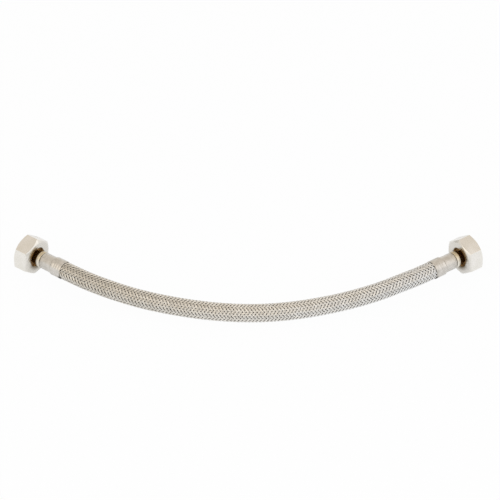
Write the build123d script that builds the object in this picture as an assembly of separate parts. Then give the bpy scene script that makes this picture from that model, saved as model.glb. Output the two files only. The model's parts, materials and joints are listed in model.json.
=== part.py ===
"""Braided flexible water supply hose with a loose union nut at each end.

Millimetres. X runs from one nut to the other and Z is up. The hose lies on the plane
Z = 0, bowed towards -Y, and the origin is the middle of its footprint.

Each end is built in its own frame first: Z = 0 is the nipple's sealing face and +Z runs
into the hose, so the lengths of an end are distances along its own axis.
"""
import os
from math import acos, cos, pi, radians, sin, tan

from build123d import *

# ---- Hose -----------------------------------------------------------------------------
HOSE_BORE_R = 4.0          # water way of the rubber hose
HOSE_WALL = 1.7            # rubber
BRAID_WALL = 0.65          # woven steel wire, two wires deep

# ---- Crimp: how far the ferrule squeezes the braided hose ------------------------------
NARROW_SQUEEZE = 1.0       # on the radius, next to the nut
WIDE_SQUEEZE = 0.25        # on the radius, where the braid goes in
SQUEEZE_RELEASE = 1.2      # length over which the braid swells back to full size

# ---- Ferrule --------------------------------------------------------------------------
FERRULE_WALL = 0.45
FERRULE_LIP = 0.5          # front edge, turned in behind the nipple's collar
NARROW_LENGTH = 9.5
STEP_LENGTH = 0.8          # cone from the narrow to the wide stretch
WIDE_LENGTH = 8.4
RING_COUNT = 3             # rolled rings on the wide stretch
RING_PITCH = 1.9
RING_WIDTH = 0.9
RING_DEPTH = 0.2
MOUTH_ROUND = 0.3          # outer edge where the braid goes in

# ---- Nipple ---------------------------------------------------------------------------
NIPPLE_BORE_R = 3.0
FLANGE_THICKNESS = 2.0
FLANGE_GAP = 0.5           # radial, flange to the nut's thread crests
FLANGE_EDGE = 0.3
NECK_LENGTH = 5.2          # waist between the flange and the collar
NECK_SINK = 0.35           # waist radius under the lip's seat
COLLAR_LENGTH = 2.7        # stops the ferrule's lip
COLLAR_PROUD = 0.9         # collar radius over the lip's seat
SEAT_DEPTH = 0.5           # seat of the ferrule's lip, under the shoulder
SHOULDER_LENGTH = 1.5      # the hose butts against it
TAIL_GAP = 0.3             # tail radius under the hose's own bore
BARB_COUNT = 4
BARB_PITCH = 3.1
BARB_HEIGHT = 0.4
TIP_LENGTH = 0.8
TIP_WALL = 0.35

# ---- Union nut, G 1/2 female thread ----------------------------------------------------
NUT_ACROSS_FLATS = 24.0
NUT_LENGTH = 11.8
FRONT_BEVEL = 1.3          # height of the turned bevel at the mouth
FRONT_LAND = 0.35          # flat of the mouth's end, inside the flats
BACK_BEVEL = 1.9           # the end that faces the ferrule is rounded off more
BACK_LAND = 0.9
THREAD_MINOR_R = 9.3155    # crests of the female thread
THREAD_LENGTH = 4.6
THREAD_LEAD_IN = 0.6       # countersink at the mouth
RELIEF_R = 10.6            # clear of the thread's roots
LIP_THICKNESS = 2.5        # inner collar that pulls on the flange
LIP_HOLE_R = 7.0           # passes over the ferrule
LIP_EDGE = 0.5
NUT_LEAN = 7.0             # degrees between a corner of the hexagon and straight up

# ---- Gasket ---------------------------------------------------------------------------
GASKET_THICKNESS = 2.0
GASKET_HOLE_R = 5.0
GASKET_GAP = 0.25          # radial, gasket to thread crests

# ---- How the hose lies ------------------------------------------------------------------
LEFT_NUT = (-150.1, 56.5)  # middle of each nut, seen from above
RIGHT_NUT = (150.0, 56.15)
LEFT_HEADING = 38.4        # degrees between X and each end's axis
RIGHT_HEADING = 37.4
STRAIGHT_LENGTH = 9.6      # straight hose between each ferrule and the first bend
BENDS = [                  # corners of the route of the hose's centreline
    (-107.0, 24.3, 12.9),
    (-90.0, 16.8, 11.0),
    (-72.0, 10.5, 9.1),
    (-46.0, 4.4, 7.2),
    (-19.0, 0.1, 6.35),
    (7.0, -1.2, 6.35),
    (32.0, 1.8, 6.5),
    (56.0, 6.6, 7.9),
    (77.0, 12.5, 9.8),
    (94.0, 18.6, 12.0),
    (107.0, 25.3, 13.5),
]
BEND_SHARE = 0.45          # part of the shorter run that each bend takes up

# ---- Sizes that follow ------------------------------------------------------------------
HOSE_R = HOSE_BORE_R + HOSE_WALL
BRAID_R = HOSE_R + BRAID_WALL
NARROW_R = BRAID_R - NARROW_SQUEEZE          # braid under the narrow stretch
WIDE_R = BRAID_R - WIDE_SQUEEZE              # braid under the wide stretch
COLLAR_START = FLANGE_THICKNESS + NECK_LENGTH
FERRULE_START = COLLAR_START + COLLAR_LENGTH
NARROW_END = FERRULE_START + NARROW_LENGTH
WIDE_START = NARROW_END + STEP_LENGTH
FERRULE_END = WIDE_START + WIDE_LENGTH
HOSE_START = FERRULE_START + FERRULE_LIP + SHOULDER_LENGTH
BRAID_FULL = FERRULE_END + SQUEEZE_RELEASE
LIP_SEAT_R = NARROW_R - SEAT_DEPTH
NECK_R = LIP_SEAT_R - NECK_SINK
COLLAR_R = LIP_SEAT_R + COLLAR_PROUD
FLANGE_R = THREAD_MINOR_R - FLANGE_GAP
TAIL_R = HOSE_BORE_R - TAIL_GAP
TAIL_END = HOSE_START + BARB_COUNT * BARB_PITCH + TIP_LENGTH
NUT_CORNER_R = NUT_ACROSS_FLATS / 2 / cos(radians(30))
NUT_BACK = FLANGE_THICKNESS + LIP_THICKNESS
NUT_FRONT = NUT_BACK - NUT_LENGTH
NUT_MIDDLE = (NUT_FRONT + NUT_BACK) / 2
AXIS_HEIGHT = NUT_CORNER_R * cos(radians(NUT_LEAN))


# ---- Turned pieces ----------------------------------------------------------------------
def turned(outline):
    """Solid of revolution about Z from corners given as (radius, z)."""
    return revolve(Plane.XZ * make_face(Polyline(*outline, close=True)), Axis.Z)


def barb_corners():
    """Saw teeth of the tail: steep towards the flange, sloping towards the tip."""
    corners = []
    for index in range(BARB_COUNT):
        start = HOSE_START + index * BARB_PITCH
        corners += [(TAIL_R, start), (TAIL_R + BARB_HEIGHT, start + BARB_PITCH / 5)]
    corners.append((TAIL_R, HOSE_START + BARB_COUNT * BARB_PITCH))
    return corners


def nipple_outline():
    """Outer corners of the nipple, from the sealing face to the tail's tip."""
    shoulder_start = FERRULE_START + FERRULE_LIP
    return [
        (FLANGE_R - FLANGE_EDGE, 0),
        (FLANGE_R, FLANGE_EDGE),
        (FLANGE_R, FLANGE_THICKNESS),
        (NECK_R, FLANGE_THICKNESS),
        (NECK_R, COLLAR_START),
        (COLLAR_R, COLLAR_START),
        (COLLAR_R, FERRULE_START),
        (LIP_SEAT_R, FERRULE_START),
        (LIP_SEAT_R, shoulder_start),
        (NARROW_R, shoulder_start),
        (NARROW_R, HOSE_START),
        *barb_corners(),
        (NIPPLE_BORE_R + TIP_WALL, TAIL_END),
    ]


def nipple():
    return turned([(NIPPLE_BORE_R, 0), *nipple_outline(), (NIPPLE_BORE_R, TAIL_END)])


def nipple_blank():
    """The nipple without its bore: the space that it takes up inside the hose."""
    return turned([(0, 0), *nipple_outline(), (0, TAIL_END)])


def ring_corners(radius):
    """Rolled rings as shallow grooves, centred on the wide stretch."""
    span = (RING_COUNT - 1) * RING_PITCH + RING_WIDTH
    first = WIDE_START + (WIDE_LENGTH - span) / 2
    corners = []
    for index in range(RING_COUNT):
        start = first + index * RING_PITCH
        corners += [
            (radius, start),
            (radius - RING_DEPTH, start + RING_WIDTH * 0.3),
            (radius - RING_DEPTH, start + RING_WIDTH * 0.7),
            (radius, start + RING_WIDTH),
        ]
    return corners


def ferrule():
    narrow_outer = NARROW_R + FERRULE_WALL
    wide_outer = WIDE_R + FERRULE_WALL
    lip_back = FERRULE_START + FERRULE_LIP
    return turned([
        (LIP_SEAT_R, FERRULE_START),
        (narrow_outer - FERRULE_WALL / 2, FERRULE_START),
        (narrow_outer, FERRULE_START + FERRULE_WALL / 2),
        (narrow_outer, NARROW_END),
        (wide_outer, WIDE_START),
        *ring_corners(wide_outer),
        (wide_outer, FERRULE_END - MOUTH_ROUND),
        (wide_outer - MOUTH_ROUND, FERRULE_END),
        (WIDE_R, FERRULE_END),
        (WIDE_R, WIDE_START),
        (NARROW_R, NARROW_END),
        (NARROW_R, lip_back),
        (LIP_SEAT_R, lip_back),
    ])


def gasket():
    outer = Circle(THREAD_MINOR_R - GASKET_GAP)
    washer = extrude(outer - Circle(GASKET_HOLE_R), GASKET_THICKNESS)
    return Pos(0, 0, -GASKET_THICKNESS) * washer


def union_nut(lean):
    """Hexagon with a turned bevel on both ends, bored for the thread and the lip."""
    hexagon = extrude(RegularPolygon(NUT_CORNER_R, 6), NUT_LENGTH)
    hexagon = Pos(0, 0, NUT_FRONT) * Rot(0, 0, lean) * hexagon
    flat_r = NUT_ACROSS_FLATS / 2
    bevelled = turned([
        (0, NUT_FRONT),
        (flat_r - FRONT_LAND, NUT_FRONT),
        (NUT_CORNER_R, NUT_FRONT + FRONT_BEVEL),
        (NUT_CORNER_R, NUT_BACK - BACK_BEVEL),
        (flat_r - BACK_LAND, NUT_BACK),
        (0, NUT_BACK),
    ])
    bore = turned([
        (0, NUT_FRONT),
        (THREAD_MINOR_R + THREAD_LEAD_IN, NUT_FRONT),
        (THREAD_MINOR_R, NUT_FRONT + THREAD_LEAD_IN),
        (THREAD_MINOR_R, NUT_FRONT + THREAD_LEAD_IN + THREAD_LENGTH),
        (RELIEF_R, NUT_FRONT + 2 * THREAD_LEAD_IN + THREAD_LENGTH),
        (RELIEF_R, FLANGE_THICKNESS),
        (LIP_HOLE_R, FLANGE_THICKNESS),
        (LIP_HOLE_R, NUT_BACK - LIP_EDGE),
        (LIP_HOLE_R + LIP_EDGE, NUT_BACK),
        (0, NUT_BACK),
    ])
    return (hexagon & bevelled) - bore


# ---- Hose and braid ---------------------------------------------------------------------
def squeezed_end(narrow_r, wide_r, full_r):
    """Outer corners of a tube that the ferrule squeezes, up to its full size."""
    return [
        (narrow_r, HOSE_START),
        (narrow_r, NARROW_END),
        (wide_r, WIDE_START),
        (wide_r, FERRULE_END),
        (full_r, BRAID_FULL),
    ]


def hose_end():
    wide_r = WIDE_R - BRAID_WALL
    outline = squeezed_end(NARROW_R - BRAID_WALL, wide_r, HOSE_R)
    rubber = turned([(0, HOSE_START), *outline, (0, BRAID_FULL)])
    water_way = Pos(0, 0, TAIL_END) * extrude(Circle(HOSE_BORE_R), BRAID_FULL - TAIL_END)
    return rubber - nipple_blank() - water_way


def braid_end():
    outer = squeezed_end(NARROW_R, WIDE_R, BRAID_R)
    inner = squeezed_end(NARROW_R - BRAID_WALL, WIDE_R - BRAID_WALL, HOSE_R)
    return turned(outer + inner[::-1])


def end_frame(nut, heading, side):
    """Frame of one end: origin on the sealing face, Z into the hose, X straight up."""
    inward = Vector(-side * cos(radians(heading)), -sin(radians(heading)), 0)
    middle = Vector(nut[0], nut[1], AXIS_HEIGHT)
    return Plane(origin=middle - inward * NUT_MIDDLE, x_dir=(0, 0, 1), z_dir=inward)


def along(frame, distance):
    return frame.origin + frame.z_dir * distance


def hose_route(left, right):
    """Corners of the free stretch, from one full-size braid end to the other."""
    start = [along(left, BRAID_FULL), along(left, BRAID_FULL + STRAIGHT_LENGTH)]
    stop = [along(right, BRAID_FULL + STRAIGHT_LENGTH), along(right, BRAID_FULL)]
    return start + [Vector(*bend) for bend in BENDS] + stop


def bend_radii(corners):
    """Largest arc that each corner's shorter run allows."""
    radii = []
    for before, corner, after in zip(corners, corners[1:], corners[2:]):
        run_in = corner - before
        run_out = after - corner
        turn = acos(run_in.normalized().dot(run_out.normalized()))
        shorter = min(run_in.length, run_out.length)
        radii.append(BEND_SHARE * shorter / tan(turn / 2))
    return radii


def tube(path, outer_r, inner_r):
    section = Plane(origin=path @ 0, z_dir=path % 0) * (Circle(outer_r) - Circle(inner_r))
    return sweep(section, path=path)


# ---- Assembly ---------------------------------------------------------------------------
ends = {
    "left": end_frame(LEFT_NUT, LEFT_HEADING, -1),
    "right": end_frame(RIGHT_NUT, RIGHT_HEADING, 1),
}
leans = {"left": -NUT_LEAN, "right": NUT_LEAN}
corners = hose_route(ends["left"], ends["right"])
radii = bend_radii(corners)
path = FilletPolyline(*corners, radius=radii)

nodes = {
    "inner_hose": tube(path, HOSE_R, HOSE_BORE_R),
    "braid_sleeve": tube(path, BRAID_R, HOSE_R),
}
for side, frame in ends.items():
    to_end = frame.location
    nodes["inner_hose"] += to_end * hose_end()
    nodes["braid_sleeve"] += to_end * braid_end()
    nodes[side + "_nipple"] = to_end * nipple()
    nodes[side + "_ferrule"] = to_end * ferrule()
    nodes[side + "_gasket"] = to_end * gasket()
    nodes[side + "_union_nut"] = to_end * union_nut(leans[side])

footprint = Compound(list(nodes.values())).bounding_box()
middle = footprint.center()
to_origin = Location((-middle.X, -middle.Y, -footprint.min.Z))

os.makedirs("parts", exist_ok=True)
for name, shape in nodes.items():
    placed = to_origin * shape
    export_step(placed, f"parts/{name}.step")
    print(f"{name:18s} solids {len(placed.solids())}  volume {placed.volume:9.1f} mm3")

section_area = pi * (BRAID_R ** 2 - HOSE_R ** 2)
free_braid = tube(path, BRAID_R, HOSE_R).volume
print(f"hose centreline {path.length:.1f} mm, braid {free_braid:.1f} mm3, "
      f"section times length {section_area * path.length:.1f} mm3")
print("bend radii", [round(radius) for radius in radii])
print("shift to the origin", [round(value, 3) for value in to_origin.position])
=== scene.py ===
# %% [markdown]
# # A braided water hose, dressed over its solids
# The hose is a rubber tube in a woven steel sleeve. A crimped ferrule, a turned brass
# nipple, a rubber gasket and a loose hexagon nut close each end. The solids say where
# everything is, so this notebook only loads them and gives each piece its real surface.

# %% Load the frame
import json
from math import atan, ceil, cos, pi, radians, sin

import bpy
from mathutils import Matrix, Vector
from mathutils.kdtree import KDTree


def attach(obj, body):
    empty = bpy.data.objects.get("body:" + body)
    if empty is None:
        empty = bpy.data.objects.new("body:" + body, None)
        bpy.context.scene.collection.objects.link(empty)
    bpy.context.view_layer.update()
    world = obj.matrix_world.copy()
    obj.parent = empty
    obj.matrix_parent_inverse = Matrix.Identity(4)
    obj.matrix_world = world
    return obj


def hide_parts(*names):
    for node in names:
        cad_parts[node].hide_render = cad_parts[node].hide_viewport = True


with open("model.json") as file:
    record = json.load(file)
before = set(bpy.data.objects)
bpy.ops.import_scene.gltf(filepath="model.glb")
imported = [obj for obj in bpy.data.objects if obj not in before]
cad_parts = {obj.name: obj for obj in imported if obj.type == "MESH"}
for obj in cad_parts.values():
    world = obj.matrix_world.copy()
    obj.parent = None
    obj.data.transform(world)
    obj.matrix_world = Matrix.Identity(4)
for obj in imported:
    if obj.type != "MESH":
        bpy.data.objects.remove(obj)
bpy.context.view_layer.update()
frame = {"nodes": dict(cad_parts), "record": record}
bpy.ops.object.select_all(action="DESELECT")
MM = 0.001
print("pieces from the frame:", sorted(frame["nodes"]))

# %% [markdown]
# ## The two ends
# Every end piece is turned about one axis. The nut's hinge in the record gives that axis
# and the nipple's sealing face, so each end gets a frame with +Z into the hose and X up.
# Pieces are modelled round the world's Z axis and then laid into that frame, which is
# simpler than modelling them askew. Their sizes are the solids' own, in millimetres, and
# a place along an end is measured from its sealing face.


# %% Frames of the two ends
def end_frame(side):
    """Matrix that lays what stands on the world's origin into one end."""
    hinge = next(joint for joint in frame["record"]["behaviour"]["joints"]
                 if joint["name"] == side + "_nut_turn")
    inward = Vector(hinge["axis"]).normalized()
    up = Vector((0, 0, 1))
    across = inward.cross(up)
    turn = Matrix((up, across, inward)).transposed().to_4x4()
    return Matrix.Translation(Vector(hinge["pos_m"])) @ turn


SIDES = ("left", "right")
END = {side: end_frame(side) for side in SIDES}
for side in SIDES:
    print(side, "sealing face at", [round(value, 4) for value in END[side].translation])

# %% [markdown]
# ## Finishes
# Each finish is a small node tree. One function adds a node with its settings and links,
# and hex colours are turned into the linear values that Blender's sockets hold. Patterns
# read the piece's own coordinates, so they turn and slide with it.


# %% Helpers for every finish
def linear(hex_colour):
    """sRGB hex such as "C8BBA6" as linear RGBA."""
    channels = [int(hex_colour[i:i + 2], 16) / 255 for i in (0, 2, 4)]
    curve = [c / 12.92 if c <= 0.04045 else ((c + 0.055) / 1.055) ** 2.4 for c in channels]
    return (*curve, 1.0)


def fill_sockets(tree, node, inputs):
    """Link or set input sockets of a node, each by its name or number."""
    for key, value in inputs.items():
        if isinstance(value, bpy.types.NodeSocket):
            tree.links.new(value, node.inputs[key])
        else:
            node.inputs[key].default_value = value


def add_node(tree, kind, inputs=None, **settings):
    """Add a node, set its properties, and link or set its input sockets."""
    node = tree.nodes.new(kind)
    for name, value in settings.items():
        setattr(node, name, value)
    fill_sockets(tree, node, inputs or {})
    return node


MIX_A = 6                  # a Mix node's two colours and its result, by number,
MIX_B = 7                  # because its sockets for numbers have the same names
MIX_RESULT = 2


# %% Helpers for metal and rubber
PATCH_LOW = 0.3            # part of the noise's range that the two tones share out
PATCH_HIGH = 0.7


def new_material(name):
    """A material with its Principled shader and the piece's own coordinates."""
    material = bpy.data.materials.new(name)
    material.use_nodes = True
    tree = material.node_tree
    coordinates = add_node(tree, "ShaderNodeTexCoord").outputs["Object"]
    return material, tree, tree.nodes["Principled BSDF"], coordinates


def mottled(tree, coordinates, size_mm, dark, light):
    """Colour that wanders between two tones over patches of the given size."""
    noise = add_node(tree, "ShaderNodeTexNoise", {
        "Vector": coordinates, "Scale": 1 / (size_mm * MM), "Detail": 3.0,
    }).outputs["Fac"]
    ramp = add_node(tree, "ShaderNodeValToRGB", {"Fac": noise})
    ramp.color_ramp.elements[0].position = PATCH_LOW
    ramp.color_ramp.elements[0].color = linear(dark)
    ramp.color_ramp.elements[1].position = PATCH_HIGH
    ramp.color_ramp.elements[1].color = linear(light)
    return ramp.outputs["Color"], noise


def bare_metal(tree, shader, colour, cloud, bright, dull):
    """Metal whose roughness wanders between two values with its clouds."""
    roughness = add_node(tree, "ShaderNodeMapRange", {
        "Value": cloud, "To Min": bright, "To Max": dull,
    }).outputs["Result"]
    fill_sockets(tree, shader, {
        "Base Color": colour, "Roughness": roughness, "Metallic": 1.0,
    })


def grained(tree, shader, coordinates, size_mm, height_mm, strength):
    """Fine bumps of the given size and height."""
    grain = add_node(tree, "ShaderNodeTexNoise", {
        "Vector": coordinates, "Scale": 1 / (size_mm * MM), "Detail": 4.0,
    }).outputs["Fac"]
    bump = add_node(tree, "ShaderNodeBump", {
        "Height": grain, "Distance": height_mm * MM, "Strength": strength,
    })
    fill_sockets(tree, shader, {"Normal": bump.outputs["Normal"]})


def own_place(tree):
    """Place on the piece in mm: X up and Z along its axis, from the sealing face."""
    return add_node(tree, "ShaderNodeAttribute", attribute_name="own").outputs["Vector"]


# %% [markdown]
# ## Nickel plate
# The nuts are machined brass under bright nickel. It is smooth and nearly white, with a
# faint cloudiness from the bath, so two close tones in patches of 6 mm are enough. Its
# grain is drawn at 0.5 mm, coarser than the real one, because a finer one wouldn't show.
# Round the bore in the back the plate is darkened with painted shade, most of all below,
# and the whole back face a little. That is painted by the radius, depth and height of a
# point on the nut itself.

# %% Nickel plate, on the nuts
# Painted shade round the nut's back bore, most below it
BORE_SHADE_R = (10.9, 7.2)  # each pair: where the painted shade starts, and where it is full
BORE_SHADE_Z = (2.8, 4.4)
BORE_SHADE_X = (3.0, -4.0)
UPPER_SHADE = 0.12          # share of it that the bore's upper edge has
BACK_SHADE = 0.2            # and the whole back face


def painted_bore_shade(tree, colour):
    """Painted shade on the plate towards the edge of the nut's back bore, most below it."""
    own = own_place(tree)
    axes = add_node(tree, "ShaderNodeSeparateXYZ", {"Vector": own}).outputs
    flat = add_node(tree, "ShaderNodeVectorMath", {0: own, 1: (1, 1, 0)},
                    operation="MULTIPLY").outputs[0]
    radius = add_node(tree, "ShaderNodeVectorMath", {0: flat},
                      operation="LENGTH").outputs["Value"]
    near = add_node(tree, "ShaderNodeMapRange", {
        "Value": radius, "From Min": BORE_SHADE_R[0], "From Max": BORE_SHADE_R[1],
    }).outputs["Result"]
    back = add_node(tree, "ShaderNodeMapRange", {
        "Value": axes["Z"], "From Min": BORE_SHADE_Z[0], "From Max": BORE_SHADE_Z[1],
    }).outputs["Result"]
    low = add_node(tree, "ShaderNodeMapRange", {
        "Value": axes["X"], "From Min": BORE_SHADE_X[0], "From Max": BORE_SHADE_X[1],
        "To Min": UPPER_SHADE,
    }).outputs["Result"]
    rim = add_node(tree, "ShaderNodeMath", {0: near, 1: back}, operation="MULTIPLY")
    lower_rim = add_node(tree, "ShaderNodeMath", {0: rim.outputs[0], 1: low},
                         operation="MULTIPLY")
    whole = add_node(tree, "ShaderNodeMath", {0: back, 1: BACK_SHADE}, operation="MULTIPLY")
    most = add_node(tree, "ShaderNodeMath", {0: lower_rim.outputs[0], 1: whole.outputs[0]},
                    operation="MAXIMUM")
    # Painted shade: the plate darkens towards the back bore, most below it, and a little
    # over the whole back face.
    with_painted_shade = add_node(tree, "ShaderNodeMix", {
        "Factor": most.outputs[0], MIX_A: colour, MIX_B: linear("7F7562"),
    }, data_type="RGBA")
    return with_painted_shade.outputs[MIX_RESULT]


def nickel_plate():
    """Nickel over machined brass: bright, faintly cloudy, with painted shade round the back
    bore.
    """
    material, tree, shader, coordinates = new_material("nickel_plate")
    colour, cloud = mottled(tree, coordinates, 6.0, "EFECE4", "F6F3EE")
    bare_metal(tree, shader, painted_bore_shade(tree, colour), cloud, 0.20, 0.32)
    grained(tree, shader, coordinates, 0.5, 0.02, 0.25)
    return material


NICKEL = nickel_plate()
print("finish:", NICKEL.name)

# %% [markdown]
# ## Thin plate on the collars
# Only a flash of nickel covers the nipple's collar. Its upper side gets a painted golden
# reflection in a brass tone, mixed in by the height of a point above the axis.

# %% Thin plate, on the nipples' collars
REFLECTION_X = (1.0, 6.0)        # where the painted reflection starts, and where it is strongest
MOST_REFLECTION = 0.6


def collar_plate():
    """A thin flash of nickel over brass: pale below, with a painted golden reflection
    above.
    """
    material, tree, shader, coordinates = new_material("collar_plate")
    colour, cloud = mottled(tree, coordinates, 3.0, "EDE7DA", "F6F1E6")
    axes = add_node(tree, "ShaderNodeSeparateXYZ", {"Vector": own_place(tree)}).outputs
    # Painted reflection: golden towards the top of the collar.
    reflection_share = add_node(tree, "ShaderNodeMapRange", {
        "Value": axes["X"], "From Min": REFLECTION_X[0], "From Max": REFLECTION_X[1],
        "To Max": MOST_REFLECTION,
    }).outputs["Result"]
    with_reflection = add_node(tree, "ShaderNodeMix", {
        "Factor": reflection_share, MIX_A: colour, MIX_B: linear("BFA772"),
    }, data_type="RGBA").outputs[MIX_RESULT]
    bare_metal(tree, shader, with_reflection, cloud, 0.24, 0.38)
    return material


COLLAR_PLATE = collar_plate()
print("finish:", COLLAR_PLATE.name)

# %% [markdown]
# ## Drawn steel
# A ferrule is a short stainless tube, drawn thin and pressed by crimping jaws, which
# leaves it softly dull, in patches about as wide as the jaws' marks, 3 mm. The grain is
# again coarser than the real one, 0.3 mm. Painted shade makes a dark line at the joint
# with the collar, and a painted shadow lies low at the mouth, where the braid goes in.
# Both are painted by the place on the ferrule.

# %% Drawn steel, on the ferrules
FERRULE_START = 9.9
FERRULE_END = 28.6
# Where the painted shade at the joint and the painted shadow at the mouth lie
JOINT_Z = (FERRULE_START + 0.7, FERRULE_START + 0.3)
MOUTH_Z = (FERRULE_END - 1.9, FERRULE_END - 0.8)
MOUTH_X = (-0.8, -2.8)


def drawn_steel():
    """Thin stainless tube: softly dull, with painted shade at its joint and a painted
    shadow low at its mouth.
    """
    material, tree, shader, coordinates = new_material("drawn_steel")
    colour, cloud = mottled(tree, coordinates, 3.0, "CECAC2", "E2DED8")
    axes = add_node(tree, "ShaderNodeSeparateXYZ", {"Vector": own_place(tree)}).outputs
    # Painted shade at the joint with the collar, and a painted shadow low at the mouth.
    joint = add_node(tree, "ShaderNodeMapRange", {
        "Value": axes["Z"], "From Min": JOINT_Z[0], "From Max": JOINT_Z[1],
    }).outputs["Result"]
    mouth = add_node(tree, "ShaderNodeMapRange", {
        "Value": axes["Z"], "From Min": MOUTH_Z[0], "From Max": MOUTH_Z[1],
    }).outputs["Result"]
    under = add_node(tree, "ShaderNodeMapRange", {
        "Value": axes["X"], "From Min": MOUTH_X[0], "From Max": MOUTH_X[1],
    }).outputs["Result"]
    mouth_shadow = add_node(tree, "ShaderNodeMath", {0: mouth, 1: under}, operation="MULTIPLY")
    joint_and_mouth_shade = add_node(tree, "ShaderNodeMath", {0: joint, 1: mouth_shadow.outputs[0]},
                     operation="MAXIMUM")
    with_painted_shade = add_node(tree, "ShaderNodeMix", {
        "Factor": joint_and_mouth_shade.outputs[0], MIX_A: colour, MIX_B: linear("4E483F"),
    }, data_type="RGBA").outputs[MIX_RESULT]
    bare_metal(tree, shader, with_painted_shade, cloud, 0.26, 0.42)
    grained(tree, shader, coordinates, 0.3, 0.03, 0.3)
    return material


FERRULE_STEEL = drawn_steel()
print("finish:", FERRULE_STEEL.name)

# %% [markdown]
# ## Turned brass
# The rest of a nipple is free-cutting brass straight off the lathe, tarnished in patches
# of about 4 mm. It is seen only in the shade of the nut's bore, or when the nut is slid
# back, so its tones are darkened with painted shade.


# %% Turned brass, on the nipples
def turned_brass():
    """Brass off the lathe: golden brown, darkened with painted shade, a little darker in
    patches.
    """
    material, tree, shader, coordinates = new_material("turned_brass")
    # Both tones are darkened with painted shade.
    colour, cloud = mottled(tree, coordinates, 4.0, "6A4D25", "937140")
    bare_metal(tree, shader, colour, cloud, 0.22, 0.36)
    return material


BRASS = turned_brass()
print("finish:", BRASS.name)

# %% [markdown]
# ## Braid wire
# Bright stainless wire gives many small highlights with dark gaps between them. The gaps
# come from the real wires, and the finish only adds painted shade low in the weave. The
# wire is also painted a touch darker and warmer towards the left end of the hose, as
# painted light, and wanders between two close tones over 8 mm, so that no two bundles
# look quite the same.

# %% Braid wire
LIGHT_GRADIENT_ENDS = (-0.13, 0.13)  # X of the hose's two ends, in metres
SHADE_RISE = (0.05, 0.55)  # heights in the weave, from 0 at the rubber to 1 on top


def braid_wire():
    """Bright stainless wire, 0.2 mm thick: almost white on top, with painted shade low down
    and painted light along the hose.
    """
    material, tree, shader, coordinates = new_material("braid_wire")
    colour, cloud = mottled(tree, coordinates, 8.0, "F8F6F2", "FEFEFD")
    # Painted light: darker and warmer towards the hose's left end.
    along = add_node(tree, "ShaderNodeSeparateXYZ", {"Vector": coordinates}).outputs["X"]
    share = add_node(tree, "ShaderNodeMapRange", {
        "Value": along, "From Min": LIGHT_GRADIENT_ENDS[0], "From Max": LIGHT_GRADIENT_ENDS[1],
    }).outputs["Result"]
    painted_light = add_node(tree, "ShaderNodeValToRGB", {"Fac": share})
    painted_light.color_ramp.elements[0].color = linear("ECE8E0")
    painted_light.color_ramp.elements[1].color = linear("FDFEFF")
    painted_light.color_ramp.elements.new(0.5).color = linear("FFFDF9")
    with_painted_light = add_node(tree, "ShaderNodeMix", {
        "Factor": 1.0, MIX_A: colour, MIX_B: painted_light.outputs["Color"],
    }, data_type="RGBA", blend_type="MULTIPLY").outputs[MIX_RESULT]
    # Painted shade: greyer low in the weave.
    rise = add_node(tree, "ShaderNodeAttribute", attribute_name="rise").outputs["Fac"]
    out_of_shade = add_node(tree, "ShaderNodeMapRange", {
        "Value": rise, "From Min": SHADE_RISE[0], "From Max": SHADE_RISE[1],
    }).outputs["Result"]
    wire_with_shade = add_node(tree, "ShaderNodeMix", {
        "Factor": out_of_shade, MIX_A: linear("C2BFBA"), MIX_B: with_painted_light,
    }, data_type="RGBA").outputs[MIX_RESULT]
    bare_metal(tree, shader, wire_with_shade, cloud, 0.24, 0.36)
    return material


WIRE = braid_wire()
print("finish:", WIRE.name)

# %% [markdown]
# ## Rubbers
# The hose and the gaskets are carbon-filled EPDM, one extruded and one punched. Both are
# nearly black with a dry grain, drawn at 0.8 mm, coarser than the real one, so that it
# shows. The gasket is a little paler and rougher.


# %% Rubbers
def black_rubber(name, dark, light, roughness):
    """EPDM: nearly black, matt, with a fine dry grain."""
    material, tree, shader, coordinates = new_material(name)
    colour, grain = mottled(tree, coordinates, 0.8, dark, light)
    bump = add_node(tree, "ShaderNodeBump", {
        "Height": grain, "Distance": 0.05 * MM, "Strength": 0.3,
    })
    fill_sockets(tree, shader, {
        "Base Color": colour, "Roughness": roughness, "Normal": bump.outputs["Normal"],
    })
    return material


HOSE_RUBBER = black_rubber("hose_rubber", "0E0D0C", "191817", 0.55)
GASKET_RUBBER = black_rubber("gasket_rubber", "151413", "24221F", 0.65)
print("finishes:", HOSE_RUBBER.name, GASKET_RUBBER.name)

# %% [markdown]
# ## The hose's line
# One NURBS spline is the centreline. Its control points are the corners of the hose's
# route. The first and last lie inside the ferrules, on each end's own axis.

# %% The centreline
SHIFT = Vector((0.104, -31.110, 0.0))  # puts the middle of the whole hose on the origin
BENDS = [
    (-107.0, 24.3, 12.9),
    (-90.0, 16.8, 11.0),
    (-72.0, 10.5, 9.1),
    (-46.0, 4.4, 7.2),
    (-19.0, 0.1, 6.35),
    (7.0, -1.2, 6.35),
    (32.0, 1.8, 6.5),
    (56.0, 6.6, 7.9),
    (77.0, 12.5, 9.8),
    (94.0, 18.6, 12.0),
    (107.0, 25.3, 13.5),
]
HIDDEN_START = 21.5        # where the centreline starts, inside the ferrule
FIRST_BEND = 39.4          # first corner of the route


def on_axis(side, distance_mm):
    """Point on an end's axis."""
    return END[side] @ Vector((0, 0, distance_mm * MM))


route = [on_axis("left", HIDDEN_START), on_axis("left", FIRST_BEND)]
route += [(Vector(bend) + SHIFT) * MM for bend in BENDS]
route += [on_axis("right", FIRST_BEND), on_axis("right", HIDDEN_START)]


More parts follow.
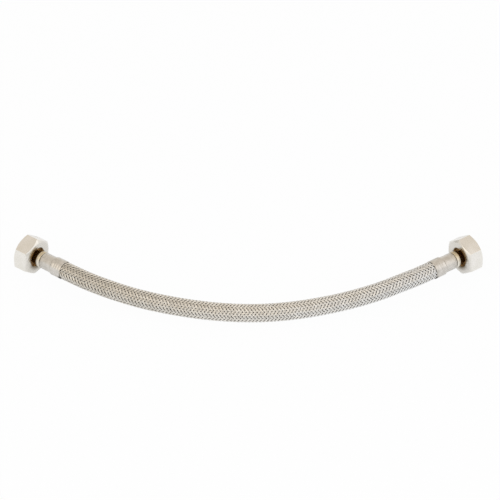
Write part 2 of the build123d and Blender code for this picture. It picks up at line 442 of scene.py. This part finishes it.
def nurbs(name, points, bevel_mm=0.0, steps=12):
    """One open NURBS spline through the given control points."""
    data = bpy.data.curves.new(name, "CURVE")
    data.dimensions = "3D"
    data.resolution_u = steps
    data.bevel_depth = bevel_mm * MM
    data.bevel_resolution = 6
    data.use_fill_caps = True
    spline = data.splines.new("NURBS")
    spline.points.add(len(points) - 1)
    for point, place in zip(spline.points, points):
        point.co = (*place, 1.0)
    spline.order_u = 3
    spline.use_endpoint_u = True
    piece = bpy.data.objects.new(name, data)
    bpy.context.collection.objects.link(piece)
    return piece


def read_line(points):
    """Points along the smooth spline, read from a curve with no bevel."""
    guide = nurbs("guide", points, steps=24)
    bpy.context.view_layer.update()
    mesh = bpy.data.meshes.new_from_object(guide)
    places = [vertex.co.copy() for vertex in mesh.vertices]
    bpy.data.objects.remove(guide)
    bpy.data.meshes.remove(mesh)
    return places


line = read_line(route)
line_length = sum((b - a).length for a, b in zip(line, line[1:]))
print(f"centreline {line_length / MM:.1f} mm, {len(line)} points")

# %% [markdown]
# ## The rubber hose
# Between the wires you can see black specks: the rubber tube underneath. It is the cord
# itself, so it is a bevelled curve on the centreline.

# %% Rubber hose
LINER_R = 5.6
hose = nurbs("rubber_hose", route, bevel_mm=LINER_R)
hose.data.materials.append(HOSE_RUBBER)
print("rubber hose:", 2 * LINER_R, "mm thick")

# %% [markdown]
# ## The woven braid
# Twelve bundles of fine wire run round the hose each way, over two and under two. A
# weave painted on a tube would stay flat at its edges, so every wire is real. A wire is
# a helix about the centreline, and its radius swells where its bundle goes over. First
# come rails: even steps along the hose, each with two directions square to it.

# %% Rails along the hose
RAIL_STEP = 0.25           # mm


def frames_along(places, step):
    """Position, normal and binormal at even steps, carried along without twist."""
    lengths = [0.0]
    for a, b in zip(places, places[1:]):
        lengths.append(lengths[-1] + (b - a).length)
    total = lengths[-1]
    count = int(total / step)
    result = []
    normal = Vector((0, 0, 1))
    segment = 0
    for index in range(count + 1):
        distance = total * index / count
        while segment < len(places) - 2 and lengths[segment + 1] < distance:
            segment += 1
        a, b = places[segment], places[segment + 1]
        share = (distance - lengths[segment]) / (lengths[segment + 1] - lengths[segment])
        before = places[max(segment - 1, 0)]
        after = places[min(segment + 2, len(places) - 1)]
        tangent = (b - before).normalized().lerp((after - a).normalized(), share)
        tangent.normalize()
        normal = (normal - tangent * normal.dot(tangent)).normalized()
        result.append((a.lerp(b, share), normal.copy(), tangent.cross(normal)))
    return result, total / count


rails, rail_gap = frames_along(line, RAIL_STEP * MM)
print("rails:", len(rails))


def on_hose(distance_mm, angle, radius_mm):
    """Point on the hose at a length along it, an angle round it and a radius."""
    index = distance_mm * MM / rail_gap
    low = max(0, min(int(index), len(rails) - 2))
    share = index - low
    place = rails[low][0].lerp(rails[low + 1][0], share)
    normal = rails[low][1].lerp(rails[low + 1][1], share)
    binormal = rails[low][2].lerp(rails[low + 1][2], share)
    return place + (normal * cos(angle) + binormal * sin(angle)) * radius_mm * MM


# %% One wire
LEAD = 29.3                # mm of hose in one turn of a bundle
BUNDLES = 12               # each way
WIRES = 6                  # in a bundle
WIRE_R = 0.10
WIRE_PITCH = 0.205
WEAVE_R = 6.02             # middle of the weave
WEAVE_LIFT = 0.22          # how far a bundle rises and dips
WEAVE_REPEAT = 4           # crossings in one over two and under two
WEAVE_TURN = radians(15)   # turn of the whole weave about the hose
HELIX = atan(2 * pi * WEAVE_R / LEAD)
WIRE_STEP = 0.625          # mm between a wire's points
HOSE_LENGTH = line_length / MM
TUCK = FERRULE_END - HIDDEN_START      # braid inside the ferrule, at each end
MOUTH_PINCH = 0.25                     # crimping draws the braid in at the mouth
SWELL = 1.6                            # and it swells back to full size over this


def squeeze(distance_mm):
    """How far the ferrules press the weave in at this point."""
    from_mouth = min(distance_mm, HOSE_LENGTH - distance_mm) - TUCK
    return MOUTH_PINCH * max(0.0, min(1.0, 1 - from_mouth / SWELL))


def wire_points(bundle, way, offset):
    """Points of one wire of a bundle that turns one way round the hose."""
    points = []
    count = ceil(HOSE_LENGTH / WIRE_STEP)
    for index in range(count + 1):
        distance = HOSE_LENGTH * index / count
        along = distance - offset * sin(HELIX)
        around = way * (2 * pi * distance / LEAD + offset * cos(HELIX) / WEAVE_R)
        angle = around + 2 * pi * bundle / BUNDLES
        crossed = (angle + way * 2 * pi * along / LEAD) * BUNDLES / (2 * pi)
        wave = cos(2 * pi * (bundle + crossed - 0.5) / WEAVE_REPEAT)
        radius = WEAVE_R + way * WEAVE_LIFT * wave - squeeze(along)
        points.append(on_hose(along, angle + WEAVE_TURN, radius))
    return points


# %% How high each point of the weave stands
rail_tree = KDTree(len(rails))
for index, (place, _, _) in enumerate(rails):
    rail_tree.insert(place, index)
rail_tree.balance()


def write_rise(mesh):
    """Store 0 at the rubber and 1 at the tops of the wires, for the wire's colour."""
    rise = mesh.attributes.new("rise", "FLOAT", "POINT")
    low = WEAVE_R - WEAVE_LIFT - WIRE_R
    span = 2 * (WEAVE_LIFT + WIRE_R)
    values = []
    for vertex in mesh.vertices:
        distance = rail_tree.find(vertex.co)[2] / MM
        values.append((distance - low) / span)
    rise.data.foreach_set("value", values)


# %% The bundles, three to a piece
BUNDLES_IN_PIECE = 3


def activate(piece):
    """Select one piece alone, so that an operator acts on nothing else."""
    bpy.ops.object.select_all(action="DESELECT")
    piece.select_set(True)
    bpy.context.view_layer.objects.active = piece


def braid_piece(name, members):
    """Several bundles as one mesh, each wire a thin round spline before that."""
    data = bpy.data.curves.new(name, "CURVE")
    data.dimensions = "3D"
    data.bevel_depth = WIRE_R * MM
    data.bevel_resolution = 1
    data.use_fill_caps = True
    for bundle, way in members:
        for number in range(WIRES):
            points = wire_points(bundle, way, (number - (WIRES - 1) / 2) * WIRE_PITCH)
            spline = data.splines.new("POLY")
            spline.points.add(len(points) - 1)
            flat = [value for point in points for value in (*point, 1.0)]
            spline.points.foreach_set("co", flat)
            spline.use_smooth = True
    piece = bpy.data.objects.new(name, data)
    bpy.context.collection.objects.link(piece)
    activate(piece)
    bpy.ops.object.convert(target="MESH")
    piece.data.materials.append(WIRE)
    write_rise(piece.data)
    return piece


all_bundles = [(bundle, way) for way in (1, -1) for bundle in range(BUNDLES)]
braid = []
for first in range(0, len(all_bundles), BUNDLES_IN_PIECE):
    name = f"braid_bundles_{first // BUNDLES_IN_PIECE + 1}"
    braid.append(braid_piece(name, all_bundles[first:first + BUNDLES_IN_PIECE]))
print("wires:", len(all_bundles) * WIRES, "in", len(braid), "pieces")

# %% [markdown]
# ## Turned pieces
# Ferrules, nipples and gaskets all come off a lathe or out of a round die. A plane is
# merged to a single point, the point is extruded from corner to corner round the half
# section, and the outline is spun round the axis. A small bevel then breaks the corners.

# %% Helpers for turned pieces
WELD = 1e-6                # m: points nearer than this are one point
ROUND_SHADING = radians(32)            # faces that meet at less are shaded as round


def finish_modifier(piece, kind, **settings):
    """Add a modifier with its settings and apply it."""
    activate(piece)
    modifier = piece.modifiers.new(kind.lower(), kind)
    for name, value in settings.items():
        setattr(modifier, name, value)
    bpy.ops.object.modifier_apply(modifier=modifier.name)


def spun(name, outline, steps=96):
    """Closed solid of revolution about Z from corners given as (radius, z) in mm."""
    corners = [Vector((radius * MM, 0, z * MM)) for radius, z in outline]
    bpy.ops.object.select_all(action="DESELECT")
    bpy.ops.mesh.primitive_plane_add(size=MM, calc_uvs=False, location=(0, 0, 0))
    piece = bpy.context.object
    piece.name = name
    piece.data.name = name
    bpy.ops.object.mode_set(mode="EDIT")
    bpy.ops.mesh.select_all(action="SELECT")
    bpy.ops.mesh.merge(type="CENTER")
    bpy.ops.transform.translate(value=corners[0])
    for corner, following in zip(corners, corners[1:] + corners[:1]):
        bpy.ops.mesh.extrude_vertices_move(
            TRANSFORM_OT_translate={"value": following - corner})
    bpy.ops.mesh.select_all(action="SELECT")
    bpy.ops.mesh.spin(steps=steps, angle=2 * pi, center=(0, 0, 0), axis=(0, 0, 1))
    bpy.ops.mesh.select_all(action="SELECT")
    bpy.ops.mesh.remove_doubles(threshold=WELD)
    bpy.ops.mesh.normals_make_consistent(inside=False)
    bpy.ops.object.mode_set(mode="OBJECT")
    return piece


def soften(piece, width_mm, segments=2, angle=28):
    """Break sharp edges as tumbling and plating do, and shade what is round as round."""
    finish_modifier(piece, "BEVEL", width=width_mm * MM, segments=segments,
                    limit_method="ANGLE", angle_limit=radians(angle),
                    use_clamp_overlap=True, harden_normals=False)
    activate(piece)
    bpy.ops.object.shade_smooth_by_angle(angle=ROUND_SHADING)


def write_own(mesh):
    """Keep the piece's own coordinates, in mm about its axis, for its material."""
    own = mesh.attributes.new("own", "FLOAT_VECTOR", "POINT")
    values = [value / MM for vertex in mesh.vertices for value in vertex.co]
    own.data.foreach_set("vector", values)


def lay_in_end(piece, side, material, body, node):
    """Put a finished piece at its end of the hose, on its body, and hide the solid it
    stands for.
    """
    write_own(piece.data)
    piece.data.transform(END[side])
    piece.data.materials.clear()
    piece.data.materials.append(material)
    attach(piece, body)
    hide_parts(node)


# %% [markdown]
# ## Ferrules
# A ferrule is a tube in two widths. Its narrow half is crimped on the nipple and turned
# in behind the collar, and its wide half grips the braid with three rolled rings. All of
# it is round, so one outline holds the rings and the rounded edges too.

# %% Ferrules
FERRULE_WALL = 0.45
NARROW_R = 5.35            # inside
WIDE_R = 6.1
LIP_BACK = 10.4            # back of the lip that is turned in at the front
LIP_SEAT_R = 4.85          # inside of that lip, and the groove that it sits in
NARROW_END = 19.4
WIDE_START = 20.2
RING_COUNT = 3
RING_PITCH = 1.9
RING_WIDTH = 0.9
RING_DEPTH = 0.14
RING_POINTS = 7
FRONT_ROUND = 0.3          # rounded front edge, with one point between its ends
FRONT_CUT = 0.09
MOUTH_ROUND = (0.3, 0.35)  # the same at the mouth, across and along
MOUTH_CUT = 0.1
BEND_OUTER = 0.2           # the step's bends: where they start outside it,
BEND_INNER = 0.15          # where they end inside it,
BEND_RISE = 0.08           # and how far the wall has risen there
SLACK = 0.02


def ring_outline(radius):
    """Rolled rings: shallow round-bottomed grooves."""
    span = (RING_COUNT - 1) * RING_PITCH + RING_WIDTH
    first = WIDE_START + (FERRULE_END - WIDE_START - span) / 2
    outline = []
    for ring in range(RING_COUNT):
        for step in range(RING_POINTS):
            share = step / (RING_POINTS - 1)
            depth = RING_DEPTH * (1 - cos(2 * pi * share)) / 2
            outline.append((radius - depth, first + ring * RING_PITCH + RING_WIDTH * share))
    return outline


def ferrule(side):
    """One crimped ferrule, from its front lip to its mouth and back inside."""
    narrow = NARROW_R + FERRULE_WALL
    wide = WIDE_R + FERRULE_WALL
    piece = spun(side + "_crimped_ferrule", [
        (LIP_SEAT_R, FERRULE_START),
        (narrow - FRONT_ROUND, FERRULE_START),
        (narrow - FRONT_CUT, FERRULE_START + FRONT_CUT),
        (narrow, FERRULE_START + FRONT_ROUND),
        (narrow, NARROW_END - BEND_OUTER),
        (narrow + BEND_RISE, NARROW_END + BEND_INNER),
        (wide - BEND_RISE, WIDE_START - BEND_INNER),
        (wide, WIDE_START + BEND_OUTER),
        *ring_outline(wide),
        (wide, FERRULE_END - MOUTH_ROUND[1]),
        (wide - MOUTH_CUT, FERRULE_END - MOUTH_CUT),
        (wide - MOUTH_ROUND[0], FERRULE_END),
        (WIDE_R + SLACK, FERRULE_END),
        (WIDE_R + SLACK, WIDE_START),
        (NARROW_R, NARROW_END),
        (NARROW_R, LIP_BACK),
        (LIP_SEAT_R, LIP_BACK),
    ])
    soften(piece, 0.06)
    lay_in_end(piece, side, FERRULE_STEEL, "hose", side + "_ferrule")
    return piece


ferrules = {side: ferrule(side) for side in SIDES}
print("ferrule faces:", len(ferrules["left"].data.polygons))

# %% [markdown]
# ## Nipples
# A nipple is one turned piece: a flange that the gasket seals on, a neck, a collar, a
# groove for the ferrule's lip and a barbed tail in the rubber. The collar's faces are
# found by their place along the axis, and get the thin plate.

# %% Nipples
NIPPLE_BORE_R = 3.0
BORE_CHAMFER = 0.4
FLANGE_R = 8.8155
FLANGE_THICKNESS = 2.0
FLANGE_EDGE = 0.3
NECK_R = 4.5
COLLAR_START = 7.2
COLLAR_R = 5.75
COLLAR_EDGE = 0.45
HOSE_START = 11.9
TAIL_R = 3.7
TAIL_END = 25.1
TAIL_CHAMFER = 0.35
BARB_R = 4.1
BARB_PITCH = 3.1
BARB_COUNT = 4
BARB_RISE = BARB_PITCH / 5
COLLAR_MARGIN = 0.05


def barb_outline():
    """Saw teeth that let the hose on and not off."""
    outline = []
    for barb in range(BARB_COUNT):
        start = HOSE_START + barb * BARB_PITCH
        outline += [(TAIL_R, start), (BARB_R, start + BARB_RISE)]
    return outline + [(TAIL_R, HOSE_START + BARB_COUNT * BARB_PITCH)]


def nipple(side):
    """One nipple, from its sealing face to the end of its tail and back inside."""
    piece = spun(side + "_brass_nipple", [
        (NIPPLE_BORE_R + BORE_CHAMFER, 0),
        (FLANGE_R - FLANGE_EDGE, 0),
        (FLANGE_R, FLANGE_EDGE),
        (FLANGE_R, FLANGE_THICKNESS),
        (NECK_R, FLANGE_THICKNESS),
        (NECK_R, COLLAR_START),
        (COLLAR_R, COLLAR_START),
        (COLLAR_R, FERRULE_START - COLLAR_EDGE),
        (COLLAR_R - COLLAR_EDGE, FERRULE_START),
        (LIP_SEAT_R, FERRULE_START),
        (LIP_SEAT_R, LIP_BACK),
        (NARROW_R, LIP_BACK),
        (NARROW_R, HOSE_START),
        *barb_outline(),
        (NIPPLE_BORE_R + TAIL_CHAMFER, TAIL_END),
        (NIPPLE_BORE_R, TAIL_END),
        (NIPPLE_BORE_R, BORE_CHAMFER),
    ])
    soften(piece, 0.08)
    lowest = (COLLAR_START - COLLAR_MARGIN) * MM
    highest = (FERRULE_START + COLLAR_MARGIN) * MM
    collar = [face.index for face in piece.data.polygons
              if lowest < face.center.z < highest]
    lay_in_end(piece, side, BRASS, "hose", side + "_nipple")
    piece.data.materials.append(COLLAR_PLATE)
    for index in collar:
        piece.data.polygons[index].material_index = 1
    return piece


nipples = {side: nipple(side) for side in SIDES}
print("nipple faces:", len(nipples["left"].data.polygons))

# %% [markdown]
# ## Gaskets
# A gasket is a ring punched from rubber sheet. It lies on the flange, in the nut's mouth,
# and is turned from four corners with soft edges.

# %% Gaskets
GASKET_R = 9.0655
GASKET_HOLE_R = 5.0
GASKET_THICKNESS = 2.0


def gasket(side):
    """One flat washer in front of the sealing face."""
    piece = spun(side + "_rubber_gasket", [
        (GASKET_HOLE_R, -GASKET_THICKNESS),
        (GASKET_R, -GASKET_THICKNESS),
        (GASKET_R, 0),
        (GASKET_HOLE_R, 0),
    ])
    soften(piece, 0.15)
    lay_in_end(piece, side, GASKET_RUBBER, side + "_gasket",
               side + "_gasket")
    return piece


gaskets = {side: gasket(side) for side in SIDES}
print("gasket faces:", len(gaskets["left"].data.polygons))

# %% [markdown]
# ## The thread
# The nut has a G 1/2 female thread. It is a closed ridge that climbs round the bore and
# fades out at both ends, as a cut thread does. A screw operator can't fade, so the
# ridge's four corners are worked out step by step.

# %% Thread
THREAD_MINOR_R = 9.3155
THREAD_MAJOR_R = 10.4775
THREAD_PITCH = 1.814
THREAD_STEPS = 72          # points in one turn
FADE_STEPS = THREAD_STEPS / 6
FADED = 0.05               # height that is left at the very ends, as a share
RIDGE_SINK = 0.1           # how far its foot goes into the wall
FOOT_HALF = 0.46           # half widths of the foot and crest, as shares of the pitch
CREST_HALF = 0.12


def thread_ridge(name, start, end):
    """Closed helical ridge from the bore's wall to the thread's crest."""
    turns = (end - start) / THREAD_PITCH
    count = round(turns * THREAD_STEPS)
    foot = THREAD_MAJOR_R + RIDGE_SINK
    places, faces = [], []
    for index in range(count + 1):
        angle = 2 * pi * index / THREAD_STEPS
        z = start + THREAD_PITCH * index / THREAD_STEPS
        fade = min(1.0, index / FADE_STEPS, (count - index) / FADE_STEPS)
        crest = THREAD_MAJOR_R - (THREAD_MAJOR_R - THREAD_MINOR_R) * max(fade, FADED)
        for radius, rise in ((foot, -FOOT_HALF), (crest, -CREST_HALF),
                             (crest, CREST_HALF), (foot, FOOT_HALF)):
            places.append((radius * MM * cos(angle), radius * MM * sin(angle),
                           (z + rise * THREAD_PITCH) * MM))
        if index:
            a = 4 * (index - 1)
            for side in range(4):
                b = a + (side + 1) % 4
                faces.append((a + side, b, b + 4, a + side + 4))
    faces.append((3, 2, 1, 0))
    faces.append(tuple(range(4 * count, 4 * count + 4)))
    mesh = bpy.data.meshes.new(name)
    mesh.from_pydata(places, [], faces)
    piece = bpy.data.objects.new(name, mesh)
    bpy.context.collection.objects.link(piece)
    activate(piece)
    bpy.ops.object.mode_set(mode="EDIT")
    bpy.ops.mesh.select_all(action="SELECT")
    bpy.ops.mesh.normals_make_consistent(inside=False)
    bpy.ops.object.mode_set(mode="OBJECT")
    bpy.ops.object.shade_smooth_by_angle(angle=ROUND_SHADING)
    return piece


# %% [markdown]
# ## The union nuts
# A nut starts as a hexagon bar. A lathe turns a cone on both ends, which leaves the round
# arcs on the flats, and bores it. Two booleans do the same here: one keeps what lies
# inside the turned outline, the other takes out the bore. Both cuts leave corners that
# all but coincide, so those are merged before the edges are broken.

# %% Nut
NUT_FRONT = -7.3
NUT_BACK = 4.5
NUT_FLAT_R = 12.0          # half the width across flats
NUT_CORNER_R = NUT_FLAT_R / cos(radians(30))
BAR_SPARE = 1.0            # how much longer the bar is than the nut
NUT_LEAN = {"left": -7.0, "right": 7.0}    # degrees, from a corner straight down
FRONT_LAND_R = 11.65
FRONT_BEVEL = 1.3          # mm along the axis at the corners
BACK_LAND_R = 11.1
BACK_BEVEL = 1.9
CHAMFER = 0.5              # of the thread's mouth and the back bore
RELIEF_R = 10.6            # groove behind the thread
RELIEF_START = -1.5
RELIEF_EDGE = 0.1
LIP_HOLE_R = 7.0           # the lip behind it bears on the nipple's flange
PAST = 0.2                 # how far the turned outline runs past the bar's corners
CUT_PAST = 1.0             # how far a cut runs past the faces
CUT_WELD = 1e-5            # m
THREAD_FROM_MOUTH = 1.0
THREAD_FROM_RELIEF = 0.4
TURNED_STEPS = 144


def cut_with(piece, tool, operation):
    """Cut or trim a piece with a tool, and throw the tool away."""
    finish_modifier(piece, "BOOLEAN", object=tool, operation=operation, solver="EXACT")
    bpy.data.objects.remove(tool)


def hexagon_bar(side):
    """The nut's raw bar, a little long, turned to the way that the nut lies."""
    middle = (NUT_FRONT + NUT_BACK) / 2
    bpy.ops.object.select_all(action="DESELECT")
    bpy.ops.mesh.primitive_cylinder_add(
        vertices=6, radius=NUT_CORNER_R * MM,
        depth=(NUT_BACK - NUT_FRONT + BAR_SPARE) * MM, location=(0, 0, middle * MM),
        rotation=(0, 0, radians(NUT_LEAN[side] + 90)))
    piece = bpy.context.object
    piece.name = side + "_hexagon_nut"
    bpy.ops.object.transform_apply()
    return piece


def turned_outline():
    """What the lathe leaves outside: two flat lands, with a cone behind each."""
    outer = NUT_CORNER_R + PAST
    front = FRONT_BEVEL * (1 + PAST / (NUT_CORNER_R - FRONT_LAND_R))
    back = BACK_BEVEL * (1 + PAST / (NUT_CORNER_R - BACK_LAND_R))
    return spun("turned", [
        (0, NUT_FRONT),
        (FRONT_LAND_R, NUT_FRONT),
        (outer, NUT_FRONT + front),
        (outer, NUT_BACK - back),
        (BACK_LAND_R, NUT_BACK),
        (0, NUT_BACK),
    ], steps=TURNED_STEPS)


def turned_bore():
    """What the lathe takes out: mouth, thread's bore, relief groove and back bore."""
    return spun("bore", [
        (0, NUT_FRONT - CUT_PAST),
        (THREAD_MAJOR_R + CHAMFER + CUT_PAST, NUT_FRONT - CUT_PAST),
        (THREAD_MAJOR_R, NUT_FRONT + CHAMFER),
        (THREAD_MAJOR_R, RELIEF_START),
        (RELIEF_R, RELIEF_START + RELIEF_EDGE),
        (RELIEF_R, FLANGE_THICKNESS),
        (LIP_HOLE_R, FLANGE_THICKNESS),
        (LIP_HOLE_R, NUT_BACK - CHAMFER),
        (LIP_HOLE_R + CHAMFER + CUT_PAST, NUT_BACK + CUT_PAST),
        (0, NUT_BACK + CUT_PAST),
    ], steps=TURNED_STEPS)


def union_nut(side):
    """One nut: bar, turning, boring, broken edges, and the thread joined to it."""
    piece = hexagon_bar(side)
    cut_with(piece, turned_outline(), "INTERSECT")
    cut_with(piece, turned_bore(), "DIFFERENCE")
    activate(piece)
    bpy.ops.object.mode_set(mode="EDIT")
    bpy.ops.mesh.select_all(action="SELECT")
    bpy.ops.mesh.remove_doubles(threshold=CUT_WELD)
    bpy.ops.object.mode_set(mode="OBJECT")
    soften(piece, 0.22, segments=3, angle=24)
    ridge = thread_ridge("ridge", NUT_FRONT + THREAD_FROM_MOUTH,
                         RELIEF_START - THREAD_FROM_RELIEF)
    activate(piece)
    ridge.select_set(True)
    bpy.ops.object.join()
    lay_in_end(piece, side, NICKEL, side + "_nut", side + "_union_nut")
    return piece


nuts = {side: union_nut(side) for side in SIDES}
for side in SIDES:
    print(side, "nut faces:", len(nuts[side].data.polygons))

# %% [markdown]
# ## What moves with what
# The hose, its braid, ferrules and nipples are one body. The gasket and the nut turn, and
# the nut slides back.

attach(hose, "hose")
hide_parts("inner_hose")
for piece in braid:
    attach(piece, "hose")
    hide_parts("braid_sleeve")

# %% [markdown]
# ## Floor
# The hose lies on a white sweep. The camera sees nearly plain white there, and so, in
# part, does metal. The rest is a matt floor, which keeps a faint shadow under the hose.

# %% Floor
WHITE_TO_CAMERA = 0.96
WHITE_TO_METAL = 0.6

bpy.ops.mesh.primitive_plane_add(size=6.0, location=(0, 0, 0))
floor = bpy.context.object
floor.name = "floor"
floor_material, tree, shader, _ = new_material("white_sweep")
fill_sockets(tree, shader, {
    "Base Color": linear("EFF5FF"), "Roughness": 0.9, "Specular IOR Level": 0.0,
})
white = add_node(tree, "ShaderNodeEmission", {"Color": (1, 1, 1, 1), "Strength": 1.0})
ray = add_node(tree, "ShaderNodeLightPath").outputs
in_metal = add_node(tree, "ShaderNodeMath", {0: ray["Is Glossy Ray"], 1: WHITE_TO_METAL},
                    operation="MULTIPLY").outputs[0]
white_share = add_node(tree, "ShaderNodeMath", {
    0: ray["Is Camera Ray"], 1: WHITE_TO_CAMERA, 2: in_metal,
}, operation="MULTIPLY_ADD").outputs[0]
sweep = add_node(tree, "ShaderNodeMixShader", {
    "Fac": white_share, 1: shader.outputs[0], 2: white.outputs[0],
})
fill_sockets(tree, tree.nodes["Material Output"], {"Surface": sweep.outputs[0]})
floor.data.materials.append(floor_material)
print("floor:", floor_material.name)

# %% [markdown]
# ## World
# Metal shows what is round it, so the world is what tones its faces. A small studio has a
# white horizon, a slightly dimmer and warmer ceiling, and some darker things in it: a
# dusky corner low down on two opposite sides, and a grey hood round the camera. They are
# shaded into the world by direction, and the camera itself sees plain white.

# %% World
CEILING = ((0.05, "FFFFFF"), (0.35, "E9E2D9"), (0.75, "E1D9CF"))  # height, tone
DUSK_CORNER = (-0.05, -0.4)    # X times Y of a direction: no dusk, and full dusk
DUSK_HEIGHT = (0.5, 0.1)       # its Z: no dusk, and full dusk
DUSK_TONE = "B4B1AB"
HOOD_WAY = (0, -0.8, 0.6)
HOOD_EDGE = (0.75, 0.95)       # cosine of the angle from that way: no hood, full hood
HOOD_TONE = "B0AAA1"

world = bpy.data.worlds.new("studio")
bpy.context.scene.world = world
world.use_nodes = True
tree = world.node_tree
direction = add_node(tree, "ShaderNodeTexCoord").outputs["Generated"]
axes = add_node(tree, "ShaderNodeSeparateXYZ", {"Vector": direction}).outputs
ceiling = add_node(tree, "ShaderNodeValToRGB", {"Fac": axes["Z"]})
ceiling.color_ramp.elements[0].position = CEILING[0][0]
ceiling.color_ramp.elements[0].color = linear(CEILING[0][1])
ceiling.color_ramp.elements[1].position = CEILING[2][0]
ceiling.color_ramp.elements[1].color = linear(CEILING[2][1])
ceiling.color_ramp.elements.new(CEILING[1][0]).color = linear(CEILING[1][1])

diagonal = add_node(tree, "ShaderNodeMath", {0: axes["X"], 1: axes["Y"]},
                    operation="MULTIPLY").outputs[0]
corner = add_node(tree, "ShaderNodeMapRange", {
    "Value": diagonal, "From Min": DUSK_CORNER[0], "From Max": DUSK_CORNER[1],
}).outputs["Result"]
level = add_node(tree, "ShaderNodeMapRange", {
    "Value": axes["Z"], "From Min": DUSK_HEIGHT[0], "From Max": DUSK_HEIGHT[1],
}).outputs["Result"]
shade = add_node(tree, "ShaderNodeMath", {0: corner, 1: level}, operation="MULTIPLY")
dusk = add_node(tree, "ShaderNodeMix", {
    "Factor": shade.outputs[0], MIX_A: ceiling.outputs["Color"], MIX_B: linear(DUSK_TONE),
}, data_type="RGBA").outputs[MIX_RESULT]

toward = add_node(tree, "ShaderNodeVectorMath", {0: direction, 1: HOOD_WAY},
                  operation="DOT_PRODUCT").outputs["Value"]
hood = add_node(tree, "ShaderNodeMapRange", {
    "Value": toward, "From Min": HOOD_EDGE[0], "From Max": HOOD_EDGE[1],
}).outputs["Result"]
studio = add_node(tree, "ShaderNodeMix", {
    "Factor": hood, MIX_A: dusk, MIX_B: linear(HOOD_TONE),
}, data_type="RGBA").outputs[MIX_RESULT]

camera_ray = add_node(tree, "ShaderNodeLightPath").outputs["Is Camera Ray"]
sky = add_node(tree, "ShaderNodeMix", {
    "Factor": camera_ray, MIX_A: studio, MIX_B: (1, 1, 1, 1),
}, data_type="RGBA").outputs[MIX_RESULT]
fill_sockets(tree, tree.nodes["Background"], {"Color": sky, "Strength": 1.0})
print("world:", world.name)

# %% [markdown]
# ## Soft lights
# Two big lamps stand in front, a warm key on the left and a cooler fill on the right.
# They are wide, so that the hose has no hard shadow, and weak beside the world's light.


# %% Soft lights
def soft_light(name, place, size, power, tint):
    """A rectangular lamp that looks at the middle of the hose."""
    data = bpy.data.lights.new(name, "AREA")
    data.shape = "RECTANGLE"
    data.size, data.size_y = size
    data.energy = power
    data.color = linear(tint)[:3]
    lamp = bpy.data.objects.new(name, data)
    lamp.location = place
    lamp.rotation_euler = (-Vector(place)).to_track_quat("-Z", "Y").to_euler()
    bpy.context.collection.objects.link(lamp)


soft_light("key", (-0.5, -0.9, 0.9), (1.9, 1.2), 4.7, "FFF6EA")
soft_light("fill", (0.9, -0.5, 0.7), (1.9, 1.2), 3.4, "F0F5FF")
print("lamps:", len(bpy.data.lights))

# %% [markdown]
# ## Camera
# The camera looks down at 37 degrees through a very long lens, which keeps the two ends
# the same size. Its distance follows from the width that one pixel covers.

# %% Camera
ELEVATION = 37.0           # degrees that the camera looks down
PIXELS = 500               # width of the render
MM_PER_PIXEL = 0.688
LENS = 400.0
SENSOR = 36.0
AIM = (SHIFT + Vector((1.04, 42.15, 28.14))) * MM  # in the middle of the render

distance = PIXELS * MM_PER_PIXEL * MM * LENS / SENSOR
look = Vector((0, cos(radians(ELEVATION)), -sin(radians(ELEVATION))))
camera = bpy.data.objects.new("camera", bpy.data.cameras.new("camera"))
camera.data.lens = LENS
camera.data.sensor_width = SENSOR
camera.data.clip_end = 20.0
camera.location = AIM - look * distance
camera.rotation_euler = look.to_track_quat("-Z", "Y").to_euler()
bpy.context.collection.objects.link(camera)
bpy.context.scene.camera = camera
bpy.context.scene.view_settings.view_transform = "Standard"
print(f"camera {distance:.2f} m away")
